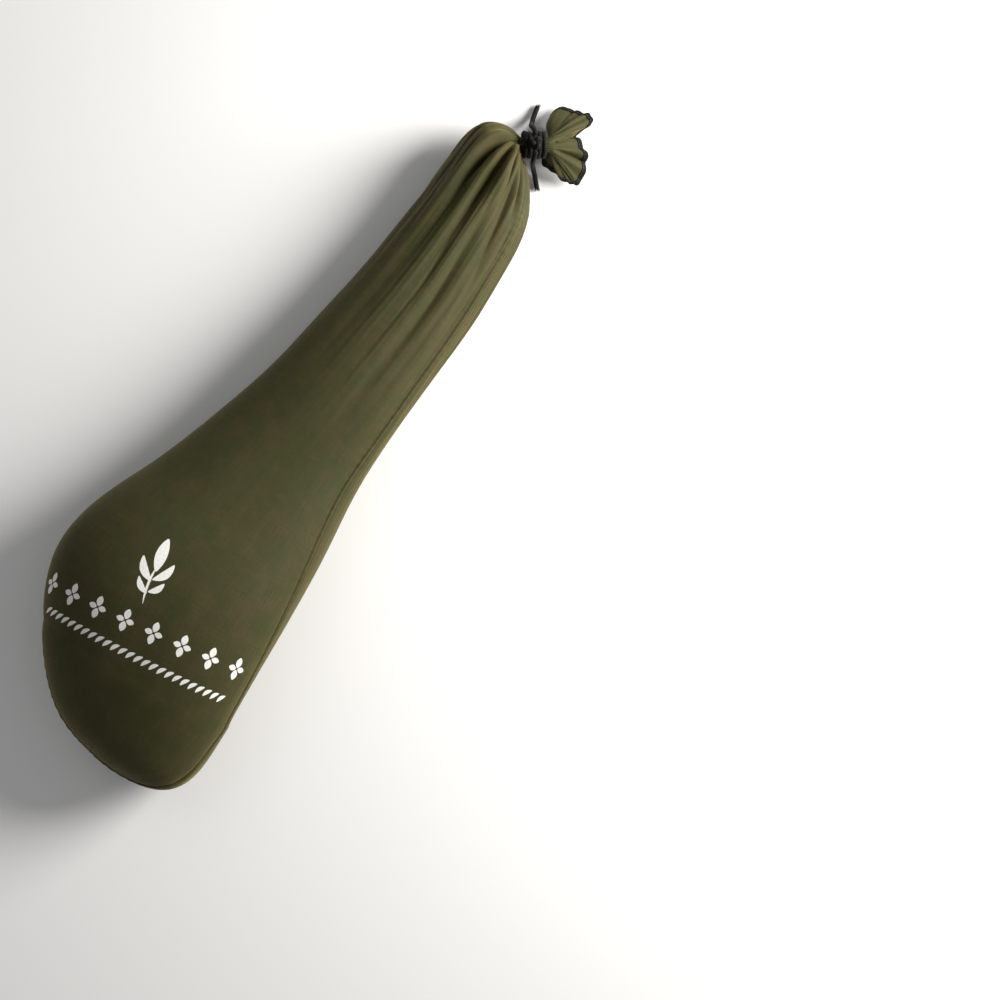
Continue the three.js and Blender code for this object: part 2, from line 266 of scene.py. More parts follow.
# Braided cord: strands wind both ways round it and pass over and under each other.
BRAID_STRANDS = 6
BRAID_PITCH = 12 * MM  # along the cord for one strand's turn
BRAID_DEPTH = 0.11  # share of the radius between a strand's crown and the groove beside it
BRAID_PROUD = 1.06  # where the crossing strands are at BRAID_LEVEL, as a share of the radius
BRAID_LEVEL = 1.6
CORD_SIDES = 42
CORD_STEP = 0.4 * MM
TAPERED = 0.75  # how far an open end rounds off, from flat to a point


def even_path(path, step):
    """The path with points an even step apart, and their distances along it."""
    lengths = lengths_along(path)
    places = np.linspace(0, lengths[-1], max(2, round(lengths[-1] / step) + 1))
    return at_each(places, lengths, path), places


def sides_along(path, closed=False):
    """Two unit vectors across the path at each of its points, which don't twist round it."""
    tangents = unit(np.gradient(path, axis=0))
    across = np.cross(tangents[0], [0, 0, 1])
    if np.linalg.norm(across) < 0.1:
        across = np.cross(tangents[0], [1, 0, 0])
    firsts = []
    for tangent in tangents:
        across = unit(across - tangent * (across @ tangent))
        firsts.append(across)
    firsts = np.array(firsts)
    if closed:
        seconds = np.cross(tangents, firsts)
        miss = math.atan2(firsts[0] @ seconds[-1], firsts[0] @ firsts[-1])
        turn = np.linspace(0, miss, len(path))[:, None]
        firsts = np.cos(turn) * firsts + np.sin(turn) * seconds
    return firsts, np.cross(tangents, firsts)


def braid(places, turns, radius):
    """A braided cord's radius at each place along it and angle round it. Its crowns stand a little
    proud of the measured radius, and its grooves lie inside it."""
    wind = math.tau * places[:, None] / BRAID_PITCH
    right = BRAID_STRANDS / 2 * (turns[None] + wind)
    left = BRAID_STRANDS / 2 * (turns[None] - wind)
    over = np.abs(np.cos(right)) + np.abs(np.cos(left))
    return radius * (BRAID_PROUD + BRAID_DEPTH * (over - BRAID_LEVEL))


def cord_mesh(name, path, diameter, closed=False, taper=0):
    """A braided tube along a path. taper rounds off that length of each open end."""
    path, places = even_path(path, CORD_STEP)
    if closed:
        path, places = path[:-1], places[:-1]
    firsts, seconds = sides_along(path, closed)
    turns = even_turns(CORD_SIDES)
    radii = braid(places, turns, diameter / 2)
    if taper:
        near_end = np.minimum(places, places[-1] - places) / taper
        radii *= np.sqrt(1 - (1 - np.clip(near_end, 0, 1)) ** 2 * TAPERED)[:, None]
    cos, sin = np.cos(turns)[None, :, None], np.sin(turns)[None, :, None]
    rings = path[:, None] + radii[..., None] * (cos * firsts[:, None] + sin * seconds[:, None])
    count = len(path)
    points = rings.reshape(-1, 3)
    faces = ring_faces([(j, (j + 1) % count) for j in range(count - (not closed))], CORD_SIDES)
    if not closed:
        points = np.concatenate([points, path[:1], path[-1:]])
        last, end = (count - 1) * CORD_SIDES, count * CORD_SIDES
        nexts = np.roll(np.arange(CORD_SIDES), -1)
        faces += [(nexts[i], i, end) for i in range(CORD_SIDES)]
        faces += [(last + i, last + nexts[i], end + 1) for i in range(CORD_SIDES)]
    return mesh_of(name, points, faces)


# ---------- the cord

TURN_RADIUS = NECK_RADIUS + FIT_GAP + CORD_DIAMETER / 2
STEP_FROM, STEP_TO = math.radians(215), math.radians(300)  # where each turn steps on to the next
STEP_PAST = math.radians(30)  # of each end of the cord, past where it would step
TURN_WAVER = 0.35 * MM
TURN_CLOSE = 0.99  # of the cord's diameter, from each turn to the next
TUCK_TURN = 0.5  # radians over which an end tucks in
TUCK_DEPTH = 3.2 * MM


def turns_path():
    """Round the neck, each turn flat until it steps over underneath. Both ends tuck in there."""
    start = STEP_TO - STEP_PAST
    stop = STEP_FROM + STEP_PAST + math.tau * CORD_TURNS
    turning = np.arange(start, stop, math.radians(3))
    whole = np.floor((turning - STEP_TO) / math.tau) + 1
    within = (turning - STEP_TO) % math.tau
    gap = math.tau - (STEP_TO - STEP_FROM)
    place = np.clip(whole - 1 + ease(within, gap, math.tau), 0, CORD_TURNS - 1)
    along = (place - (CORD_TURNS - 1) / 2) * CORD_DIAMETER * TURN_CLOSE
    tuck = ease(turning, start, start + TUCK_TURN) * ease(-turning, -stop, -stop + TUCK_TURN)
    radius = TURN_RADIUS + TURN_WAVER * np.sin(2.3 * turning) - TUCK_DEPTH * (1 - tuck)
    along = along + TURN_WAVER * np.sin(1.7 * turning + 1)
    return tie_middle + along[:, None] * neck_axis + radius[:, None] * neck_radial(turning)


KNOT_TUBE = 4.9 * MM
KNOT_HALF = (4.5 * MM, 5.4 * MM, 2.9 * MM)  # of its centreline, along, across and up


def knot_path():
    """An overhand knot's line, closed because its ends leave inside it."""
    t = np.linspace(0, math.tau, 160)
    x = (np.sin(t) + 2 * np.sin(2 * t)) / 3
    y = (np.cos(t) - 2 * np.cos(2 * t)) / 3
    z = -np.sin(3 * t)
    along, across, up = (v * half for v, half in zip((x, y, z), KNOT_HALF))
    centre = middle("tie_knot")
    return centre + along[:, None] * neck_axis + across[:, None] * neck_left + up[:, None] * neck_up


TURNS_TAPER, END_TAPER = 2 * MM, 1.2 * MM  # lengths that round off

turns_mesh = cord_mesh("cord_turns", turns_path(), CORD_DIAMETER, taper=TURNS_TAPER)
turns_piece = add_object("cord_turns", turns_mesh)
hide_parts("tie_turns")
knot_piece = add_object("cord_knot", cord_mesh("cord_knot", knot_path(), KNOT_TUBE, closed=True))
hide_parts("tie_knot")

FRAY_THREADS = 46
FRAY_LENGTH = (1.5 * MM, 4 * MM)
FRAY_SPREAD = 0.5
FRAY_RADIUS = 0.22 * MM
FRAY_ROOT = 3 * MM  # of each thread inside the cord
FRAY_STEPS = 6
FRAY_WILD = 0.12  # how much each thread leans its own way


def fray_mesh(name, path):
    """The cord's cut end, opened into threads."""
    tip, way = path[-1], unit(path[-1] - path[-6])
    side = unit(np.cross(way, [0, 0, 1]))
    up = np.cross(side, way)
    points, faces = [], []
    for _ in range(FRAY_THREADS):
        turn, off = rng.uniform(0, math.tau), math.sqrt(rng.uniform(0, 1)) * 0.8
        spread = side * math.cos(turn) + up * math.sin(turn)
        root = tip - way * FRAY_ROOT + spread * off * CORD_DIAMETER / 2
        lean = spread * off * FRAY_SPREAD + rng.normal(0, FRAY_WILD, 3)
        length = rng.uniform(*FRAY_LENGTH)
        shares = np.linspace(0, 1, FRAY_STEPS + 1)[:, None]
        line = root + shares * (FRAY_ROOT + length) * way + shares**2 * length * lean
        line[:, 2] = np.maximum(line[:, 2], FRAY_RADIUS + LYING)
        for k, (spot, a, b) in enumerate(zip(line, *sides_along(line))):
            wide = FRAY_RADIUS * (1 - 0.6 * k / FRAY_STEPS)
            base = len(points)
            points += [spot + wide * (math.cos(q) * a + math.sin(q) * b) for q in (0, 2.094, 4.189)]
            if k:
                for n, m in ((0, 1), (1, 2), (2, 0)):
                    faces.append((base - 3 + n, base - 3 + m, base + m, base + n))
            else:
                faces.append((base + 2, base + 1, base))
    return mesh_of(name, np.array(points), faces, smooth=False)


def make_end(name):
    path = end_path(name)
    end_mesh = cord_mesh("cord_end_" + name, path, CORD_DIAMETER, taper=END_TAPER)
    piece = add_object("cord_end_" + name, end_mesh)
    threads = add_object("cord_fray_" + name, fray_mesh("cord_fray_" + name, path))
    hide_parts("tie_end_" + name)
    return piece, threads


cord_pieces = [*make_end("lower"), *make_end("upper"), turns_piece, knot_piece]


# ---------- the bag's smooth form

AROUND = 400
DIRECTIONS = 96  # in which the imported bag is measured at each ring
HARMONICS = 14  # that are kept of a ring's outline
CAP_REACH = 0.1  # the rounded butt end, along the leg
CAP_RINGS = 44
BODY_RINGS = 210
CLOSE_RINGS = 160
NECK_RINGS = 12
TAIL_RINGS = 72
CLOSE_LENGTH = 0.112  # from the body to the neck, along the leg
FAR = 0.5  # a ray's start, well outside the bag
SEAM_SHANK = math.radians(159)  # the long seam, round the bag from the neck's left
SEAM_BUTT = math.radians(175)
SEAM_CROWD = 1.7  # how much closer the mesh's lines lie at the seam
SEAM_CROWD_REACH = math.radians(14)
FINE_ANGLES = 7200  # from which the mesh's are picked
SECTION_HEIGHTS = np.linspace(0.01, 0.12, 12)  # at which a section's sides are looked for
MIDDLE_BLUR, RADII_BLUR = 10, 4  # rings


def surface_of(piece):
    data = piece.data
    return BVHTree.FromPolygons([v.co for v in data.vertices], [p.vertices for p in data.polygons])


bag_surface = surface_of(frame["nodes"]["bag"])
body_end = neck_start[0] - CLOSE_LENGTH
cap_end = cad_low[0] + CAP_REACH


def crowded_angles():
    """Angles round the bag, closer together at the seam."""
    fine = even_turns(FINE_ANGLES)
    from_seam = fine - (SEAM_SHANK + SEAM_BUTT) / 2
    weight = 1 + SEAM_CROWD * np.exp(-((from_seam / SEAM_CROWD_REACH) ** 4))
    share = np.concatenate([[0], np.cumsum(weight)]) / weight.sum()
    return np.interp(np.arange(AROUND) / AROUND, share, [*fine, math.tau])


angles = crowded_angles()


def distance_out(origin, direction):
    """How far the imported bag's outside is from a point inside it."""
    hit = bag_surface.ray_cast(origin + direction * FAR, -direction)
    return FAR - hit[3]


def section_middle(x):
    """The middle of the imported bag's section at x."""
    sides = []
    for z in SECTION_HEIGHTS:
        for y, way in ((cad_low[1] - FAR, 1), (cad_high[1] + FAR, -1)):
            hit = bag_surface.ray_cast((x, y, z), (0, way, 0))
            if hit[0]:
                sides.append(hit[0][1])
    y = (min(sides) + max(sides)) / 2
    top = bag_surface.ray_cast((x, y, FAR), (0, 0, -1))[0][2]
    bottom = bag_surface.ray_cast((x, y, -FAR), (0, 0, 1))[0][2]
    return y, (top + bottom) / 2


def smooth_ring(radii):
    """Radii measured in DIRECTIONS, as a smooth outline at the mesh's angles."""
    wave = np.fft.rfft(radii, axis=-1)[..., : HARMONICS + 1] / DIRECTIONS
    wave[..., 1:] *= 2
    turning = np.exp(1j * np.arange(HARMONICS + 1)[:, None] * angles[None])
    return (wave @ turning).real


def body_form():
    """Rings of points on the butt end and the body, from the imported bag."""
    turns = even_turns(DIRECTIONS)
    xs = np.linspace(cap_end, body_end, BODY_RINGS)
    middles = blurred(np.array([section_middle(x) for x in xs]), MIDDLE_BLUR)
    tilts = np.linspace(0, math.pi / 2, CAP_RINGS + 1)[1:-1]
    origins = [np.array([cap_end, *middles[0]])] * len(tilts)
    origins += [np.array([x, *m]) for x, m in zip(xs, middles)]
    tilts = np.concatenate([tilts, np.full(BODY_RINGS, math.pi / 2)])

    def ways(tilt, turns):
        out = math.sin(tilt)
        return np.array([[-math.cos(tilt), out * math.cos(a), out * math.sin(a)] for a in turns])

    radii = [[distance_out(o, way) for way in ways(t, turns)] for o, t in zip(origins, tilts)]
    radii = blurred(smooth_ring(np.array(radii)), RADII_BLUR)
    return np.array([o + r[:, None] * ways(t, angles) for o, t, r in zip(origins, tilts, radii)])


def bezier(points, shares):
    """A Bezier curve for each line: points are its four control points."""
    t = np.asarray(shares)[:, None, None]
    a, b, c, d = points
    return (1 - t) ** 3 * a + 3 * t * (1 - t) ** 2 * b + 3 * t**2 * (1 - t) * c + t**3 * d


# The cloth closes round the hoof: each line along the bag bends from the body into the neck.
# Reaches are shares of the closing's length, at the neck's left, top and right.
STEEP = {"left": math.radians(38), "right": math.radians(96)}
BEND_OUT = {"left": 0.5, "right": 0.6}
BEND_IN = {"left": 0.57, "top": 0.3, "right": 0.36}


def closing_form(body):
    right = ((1 - np.cos(angles)) / 2)[:, None]
    side = np.abs(np.cos(angles))[:, None]
    steep = lerp(STEEP["left"], STEEP["right"], right)
    arrive = np.cos(steep) * neck_axis - np.sin(steep) * neck_radial(angles)
    reach_in = lerp(BEND_IN["top"], lerp(BEND_IN["left"], BEND_IN["right"], right), side)
    leave = unit(body[-1] - body[-3])
    end = neck_start + NECK_RADIUS * neck_radial(angles)
    reach_out = lerp(BEND_OUT["left"], BEND_OUT["right"], right)
    passing = body[-1] + leave * reach_out * CLOSE_LENGTH
    points = (body[-1], passing, end - arrive * reach_in * CLOSE_LENGTH, end)
    return bezier(points, np.linspace(0, 1, CLOSE_RINGS + 1)[1:])


def neck_form():
    shares = np.linspace(0, 1, NECK_RINGS + 1)[1:, None, None]
    return lerp(neck_start, neck_end, shares) + NECK_RADIUS * neck_radial(angles)


# The tail's lines: the angle they start at round the neck, a point that they pass near and the
# point at the mouth where they end. Points are along the neck from its end, to its left, and above
# the table, in millimetres.
TAIL_LINES = [
    (0, (3, 24, 30), (21, 42, 9)), (26, (16, 24, 34), (39, 37, 17)),
    (44, (24, 20, 35), (47, 29, 20)), (58, (25, 14, 33), (46, 22, 18)),
    (69, (22, 11, 29), (40, 17, 14)), (79, (18, 8, 25), (29, 14, 9)),
    (90, (16, 5, 28), (28, 11, 14)), (104, (19, 1, 34), (35, 4, 23)),
    (120, (21, -6, 37), (42, -9, 25)), (136, (18, -12, 36), (41, -25, 19)),
    (152, (12, -17, 34), (32, -40, 13)), (167, (4, -15, 31), (20, -35, 14)),
    (182, (-1, -11, 28), (7, -27, 14)), (198, (-3, -8, 23), (-2, -18, 13)),
    (214, (-2, -6, 17), (-4, -9, 9)), (234, (4, -6, 9), (11, -9, 2.4)),
    (254, (12, -4, 9), (26, -10, 2.4)), (274, (16, 2, 11), (34, 0, 2.4)),
    (294, (14, 8, 10), (28, 11, 2.4)), (312, (5, 11, 11), (10, 17, 2.6)),
    (328, (-4, 15, 16), (2, 26, 3.6)), (344, (-5, 20, 23), (8, 37, 5)),
]
TAIL_STRAIGHT = 5 * MM  # that the cloth runs on along the neck


def round_table(table, column):
    """A column of TAIL_LINES as smooth values at the mesh's angles."""
    known = np.radians([row[0] for row in table])
    values = np.array([row[column] for row in table], float)
    known = np.concatenate([known[-3:] - math.tau, known, known[:3] + math.tau])
    values = np.concatenate([values[-3:], values, values[:3]])
    slopes = np.gradient(values, known, axis=0)
    made = []
    for angle in angles:
        i = np.searchsorted(known, angle, side="right") - 1
        wide = known[i + 1] - known[i]
        t = (angle - known[i]) / wide
        made.append(
            (1 + 2 * t) * (1 - t) ** 2 * values[i]
            + t * (1 - t) ** 2 * wide * slopes[i]
            + t**2 * (3 - 2 * t) * values[i + 1]
            + t**2 * (t - 1) * wide * slopes[i + 1]
        )
    return np.array(made)


def tail_form():
    def placed(columns):
        along, left, up = (columns * MM).T
        spots = neck_end + along[:, None] * neck_level + left[:, None] * neck_left
        spots[:, 2] = up
        return spots

    start = neck_end + NECK_RADIUS * neck_radial(angles)
    passing = placed(round_table(TAIL_LINES, 1))
    mouth = placed(round_table(TAIL_LINES, 2))
    points = (start, start + neck_axis * TAIL_STRAIGHT, passing, mouth)
    return bezier(points, np.linspace(0, 1, TAIL_RINGS + 1)[1:])


body_rings = body_form()
closing_rings = closing_form(body_rings)
form = np.concatenate([body_rings, closing_rings, neck_form(), tail_form()])
first_neck_ring = len(body_rings) + len(closing_rings)


# ---------- the bag's folds

CLOTH = 0.9 * MM
CLOTH_CLEAR = 0.3 * MM  # between the cloth and the ham

# Folds that run along the bag from the neck, as rows of the distance from the neck in millimetres,
# the angle round the bag in degrees, the depth and half the width in millimetres. A depth below 0
# stands out. The two deep creases on top come first, with their widths' shares on either side.
TOP_SIDES = [(1.25, 0.7), (1.7, 0.55)]
TOP_CREASES = [
    [
        (-12, 77, 0.6, 1.4), (3, 77, 3, 1.7), (10, 74, 7.5, 2.4), (22, 68, 13.5, 3.4),
        (38, 63, 17, 4.2), (55, 59, 16, 4.5), (72, 56, 13, 5), (95, 54, 8, 5.8), (130, 53, 4.2, 7),
        (165, 53, 2.2, 7.6), (220, 55, 0, 8),
    ],
    [
        (-12, 86, 0.6, 1.2), (5, 86, 3.4, 1.6), (13, 88, 7.4, 2.2), (25, 89, 11, 3),
        (42, 89, 13.5, 4), (62, 88, 14, 4.8), (84, 86, 12, 5.2), (105, 83, 7.4, 5.4),
        (130, 82, 4, 6), (165, 86, 2.2, 7), (230, 96, 0, 9),
    ],
]
FOLDS = [
    [
        (-12, 108, 0.8, 1), (7, 110, 6, 1.5), (20, 114, 9.5, 1.9), (38, 116, 5.4, 2.4),
        (80, 121, 0, 3),
    ],
    [
        (-12, 130, 0.8, 1), (9, 138, 7.5, 1.5), (24, 142, 11, 1.9), (42, 144, 6.4, 2.4),
        (90, 147, 0, 4),
    ],
    [
        (-12, 150, 0.8, 1), (11, 156, 6.6, 1.5), (24, 162, 9, 1.9), (40, 166, 5, 2.3),
        (80, 170, 0, 4),
    ],
    [
        (15, 126, 0, 3), (40, 127, 2.4, 3.4), (75, 131, 3.4, 4.5), (114, 136, 3, 5.5),
        (164, 145, 2.6, 6.5), (201, 145, 1.6, 8), (285, 140, 0, 9),
    ],
    [(45, 108, 0, 3), (85, 107, 2.2, 4), (130, 108, 2.5, 5), (190, 116, 2, 6), (290, 120, 0, 8)],
    [
        (60, 153, 0, 3), (95, 152, 2.6, 3.6), (150, 154, 2.6, 4.4), (215, 152, 1.8, 5),
        (320, 150, 0, 6),
    ],
    [(30, 36, 0, 4), (62, 34, 2.8, 5), (110, 33, 2.4, 6), (170, 36, 1.5, 7), (250, 40, 0, 8)],
    [(50, 14, 0, 4), (85, 12, 2.6, 4.6), (150, 14, 2.4, 6), (230, 18, 0, 7)],
    # between the creases the cloth stands out in rounded rolls
    [(4, 80, 0, 3), (20, 78, -3, 3.4), (45, 76, -5, 5.4), (75, 72, -4.4, 7), (150, 68, 0, 9)],
    [
        (6, 100, 0, 3), (25, 102, -3.2, 4.4), (46, 102, -5, 6.6), (85, 101, -4.6, 8),
        (180, 100, 0, 10),
    ],
    [(8, 58, 0, 4), (30, 52, -3.2, 5), (55, 44, -3.2, 7), (100, 40, -1.8, 9), (170, 40, 0, 10)],
    # the shoulder over the hoof's left side, and the flank that hangs from the tie on its right
    [
        (3, 10, 0, 6), (9, 10, -3.4, 9), (24, 14, -5.5, 14), (42, 16, -6, 18), (66, 14, -1.5, 20),
        (90, 12, 1.5, 24), (130, 10, 0, 24),
    ],
    [(4, 178, 0, 6), (12, 178, -4.5, 8), (28, 177, -4, 11), (55, 176, 0, 14)],
]
# The same on the tail, by the distance from the neck's end.
TAIL_FOLDS = [
    [(6, 128, 0, 1.6), (16, 129, 4, 2.2), (34, 130, 6, 3.4), (60, 131, 4, 4.5)],
    [(6, 162, 0, 1.6), (16, 163, 3, 1.8), (34, 164, 3.5, 2.4), (60, 165, 2, 3)],
    [(6, 148, 0, 1.6), (20, 148, -1.6, 2.4), (45, 150, -2.4, 3.6), (60, 150, -1, 4)],
    [(6, 36, 0, 1.6), (18, 36, 2.6, 2), (40, 37, 4, 3.2), (64, 38, 2, 4)],
    [(6, 12, 0, 1.6), (18, 12, 2, 2), (40, 10, 3.2, 3.2), (64, 8, 1.5, 4)],
]
# Smaller creases round the rest of the neck, where the cloth is drawn in the same way.
LOW_CREASES = 13
LOW_FROM, LOW_TO = 188, 420  # degrees
LOW_DEPTH = (4.5, 9.5)  # millimetres
LOW_REACH = (70, 210)  # millimetres from the neck

PLEATS = 19  # drawn up in the neck
PLEAT_DEPTH = 1.7 * MM
PLEAT_REACH = 46 * MM  # over which they die away along the bag
TAIL_PLEATS = 9
TAIL_PLEAT_DEPTH = 2.9 * MM
TAIL_PLEAT_START = 26 * MM  # from the neck's end, over which they open out

CREASE_EDGE = 1.5  # 2 is a bell, less is sharper at the bottom
CREASE_BLUR, FOLD_BLUR = 3, 0.8  # rings
TIP_EVEN, TIP_FOLDED = 2, 14  # the first rings, between which the folds come in from the tip
NECK_CLOSED, TAIL_CLOSED = 4 * MM, 2 * MM  # before and past the neck, where nothing stands out

# Fine folds: depths in millimetres where the cloth is tight and more where it's slack, reaches
# along and round in samples, and a seed.
FINE_FOLDS = [(0.2, 2.0, 40, 4.5, 11), (0.05, 0.7, 22, 1.8, 12)]
SLACK_OVER = (0.08, 0.42)  # from the neck, where the cloth grows tight
SHANK_OVER = (0.02, 0.07)  # from the neck, where the fine folds begin
SWELL_OVER = (0.15, 0.4)  # from the neck, where soft swellings begin
SWELL_DEPTH, TAIL_CRUMPLE = 1.0 * MM, 0.7 * MM

step_round = np.roll(angles, -1) - np.roll(angles, 1)
step_round[[0, -1]] += math.tau


def grid_normals(points):
    round_it = np.roll(points, -1, 1) - np.roll(points, 1, 1)
    return unit(np.cross(round_it, np.gradient(points, axis=0)))


def grid_back(points):
    """Each point's distance from the neck's start along its line, below 0 beyond it."""
    steps = np.linalg.norm(np.diff(points, axis=0), axis=-1)
    run = np.concatenate([np.zeros((1, AROUND)), np.cumsum(steps, 0)])
    return run[first_neck_ring - 1] - run


outward = grid_normals(form)
back = grid_back(form)
beyond = np.maximum(0, -back - neck_length)  # along the tail
arc = np.linalg.norm(np.roll(form, -1, 1) - np.roll(form, 1, 1), axis=-1) / step_round


def aside(angle):
    """The distance round the bag from a line of angles to each point."""
    return ((angles[None] - angle + math.pi) % math.tau - math.pi) * arc


def fold(rows, run=back, sides=(1, 1)):
    reach, angle, depth, wide = np.array(rows, float).T
    reach = reach * MM
    line = blurred(np.radians(np.interp(run, reach, angle)), CREASE_BLUR)
    deep = blurred(np.interp(run, reach, depth * MM), CREASE_BLUR)
    off = aside(line)
    half = np.interp(run, reach, wide * MM) * np.where(off < 0, *sides)
    return deep * np.exp(-np.abs(off / half) ** CREASE_EDGE)


def low_creases():
    """Creases underneath and on the left side, in FOLDS' form."""
    places = np.linspace(LOW_FROM, LOW_TO, LOW_CREASES) + rng.uniform(-5, 5, LOW_CREASES)
    made = []
    for i, angle in enumerate(places):
        deep, far = rng.uniform(*LOW_DEPTH), rng.uniform(*LOW_REACH)
        lean = rng.uniform(-6, 6)
        if i % 2:
            far *= 0.55
        first, last = (-12, angle, 0.6, 1.2), (far, angle + lean, 0, 6.0)
        near = (8, angle, deep * 0.6, 1.8)
        deepest = (0.3 * far, angle + 0.3 * lean, deep, 2.6 + 0.008 * far)
        past = (0.62 * far, angle + 0.7 * lean, deep * 0.55, 4.0)
        made.append([first, near, deepest, past, last])
    return made


def streaks(reach_along, reach_round, seed):
    """Smooth noise on the grid, from about -1 to 1. Reaches are in samples."""
    noise = np.random.default_rng(seed).normal(size=form.shape[:2])
    along = np.exp(-2 * (np.pi * np.fft.fftfreq(len(form)) * reach_along) ** 2)
    round_it = np.exp(-2 * (np.pi * np.fft.fftfreq(AROUND) * reach_round) ** 2)
    smooth = np.fft.ifft2(np.fft.fft2(noise) * along[:, None] * round_it[None]).real
    return smooth / (2 * smooth.std())


def pleats(count, phase, sway):
    """0 in the grooves and 1 on the crowns of count uneven pleats, with wandering lines."""
    wander = sway * streaks(60, 5, 3 + count)
    turn = count * angles + 1.6 * np.sin(3 * angles + phase) + 1.1 * np.sin(5 * angles + 2 * phase)
    return 0.5 + 0.5 * np.sin(turn[None] + phase + wander)


ham_surface = surface_of(frame["nodes"]["ham"])


def room_to_ham():
    """How far the cloth can move in along its normals."""
    room = np.full(form.shape[:2], 1.0)
    for j in range(first_neck_ring):
        for i in range(AROUND):
            hit = ham_surface.ray_cast(form[j, i], -outward[j, i])
            if hit[0]:
                room[j, i] = hit[3]
    return np.maximum(0, room - CLOTH - CLOTH_CLEAR)


def folded():
    """The form moved in and out along its normals by the folds."""
    inward = sum(fold(rows, sides=sides) for sides, rows in zip(TOP_SIDES, TOP_CREASES))
    inward += sum(fold(rows) for rows in FOLDS + low_creases())
    on_bag = 1 - ease(-back, 0, neck_length / 2)
    in_neck = ease(back, -neck_length - 6 * MM, -neck_length + 2 * MM)
    in_neck = in_neck * (1 - ease(back, 0, PLEAT_REACH))
    dying = np.exp(-np.maximum(back, 0) / (0.6 * PLEAT_REACH))
    drawn = PLEAT_DEPTH * (1 - pleats(PLEATS, 0.7, 0.5)) * dying
    inward = inward * on_bag + drawn * in_neck

    opened = ease(beyond, 0, TAIL_PLEAT_START)
    inward += TAIL_PLEAT_DEPTH * opened * 2 * (0.5 - pleats(TAIL_PLEATS, 2.1, 1.4))
    inward += TAIL_CRUMPLE * opened * streaks(14, 3, 21)
    inward += sum(fold(rows, beyond) for rows in TAIL_FOLDS)

    slack, shank = 1 - ease(back, *SLACK_OVER), ease(back, *SHANK_OVER)
    for tight, more, along, round_it, seed in FINE_FOLDS:
        inward += (tight + more * slack) * MM * shank * streaks(along, round_it, seed)
    inward += SWELL_DEPTH * ease(back, *SWELL_OVER) * streaks(20, 16, 13)
    return inward


inward = np.minimum(folded(), room_to_ham())
inward = blurred(inward, FOLD_BLUR)
from_tip = ease(np.arange(len(form)), TIP_EVEN, TIP_FOLDED)[:, None]
inward = lerp(inward[:TIP_FOLDED].mean(), inward, from_tip)
# round the neck nothing stands out past the cord's inside
near_neck = (back < NECK_CLOSED) & (beyond < TAIL_CLOSED)
inward = np.where(near_neck, np.maximum(inward, 0), inward)
cloth_rings = form - inward[..., None] * outward
cloth_rings[..., 2] = np.maximum(cloth_rings[..., 2], LYING)


# ---------- the bag's side seam

# The bag is one piece of cloth folded double, sewn along one side and across the butt end, so its
# seam runs up the right side and over the end.
SEAM_HEIGHT = 1.1 * MM
SEAM_HALF = 1.3 * MM
SEAM_GROOVE = 0.7 * MM
SEAM_GROOVE_AT = 2.6 * MM
SEAM_PUCKER = 0.35 * MM
PUCKER_LENGTH = 9 * MM
SEAM_TURNS = (0.02, 0.3)  # past the butt end, where it goes from SEAM_BUTT to SEAM_SHANK
SEAM_RISES = (0.015, 0.05)  # from the neck
SEAM_BLEND = 0.03  # along the leg, where the butt end's plane takes over


def seam_shape(away, run):
    """The seam's height at a distance from it, and a place along it."""
    ridge = SEAM_HEIGHT * np.exp(-((away / SEAM_HALF) ** 2))
    groove = SEAM_GROOVE * np.exp(-(((np.abs(away) - SEAM_GROOVE_AT) / SEAM_HALF) ** 2))
    pucker = SEAM_PUCKER * np.sin(math.tau * run / PUCKER_LENGTH + 2 * np.sin(run * 90))
    return ridge - groove + pucker * np.exp(-np.abs(away) / (5 * SEAM_HALF))


past_end = ease(form[..., 0].mean(1), *(cap_end + reach for reach in SEAM_TURNS))
seam_at = lerp(SEAM_BUTT, SEAM_SHANK, past_end)
on_seam_side = np.cos(angles - SEAM_BUTT) > 0


def from_seam():
    """The distance round the bag from the seam to each point. On the butt end the seam is where a
    plane along the leg cuts the cloth, so it crosses the tip."""
    axis = form[CAP_RINGS].mean(0)
    across = np.array([0, -math.sin(SEAM_BUTT), math.cos(SEAM_BUTT)])
    from_plane = (form - axis) @ across
    on_end = 1 - ease(form[..., 0], cap_end - SEAM_BLEND, cap_end)
    along_side = lerp(aside(seam_at[:, None]), from_plane, on_end)
    return np.where(on_seam_side, along_side, from_plane), on_end


away, on_end = from_seam()
seam_fade = np.where(on_seam_side, ease(back, *SEAM_RISES), ease(on_end, 0.5, 1))
along_side, along_end = seam_shape(away, back), seam_shape(away, form[..., 1])
seam_lift = lerp(along_side, along_end, on_end) * seam_fade
cloth_rings = cloth_rings + seam_lift[..., None] * outward
cloth_rings[..., 2] = np.maximum(cloth_rings[..., 2], LYING)


# ---------- the bag's mesh

TIP_CLOTH = 3 * MM  # from the first ring to the butt's tip
pole = (form[0] - inward[0, :, None] * outward[0]).mean(0) + SEAM_HEIGHT * unit(outward[0].mean(0))


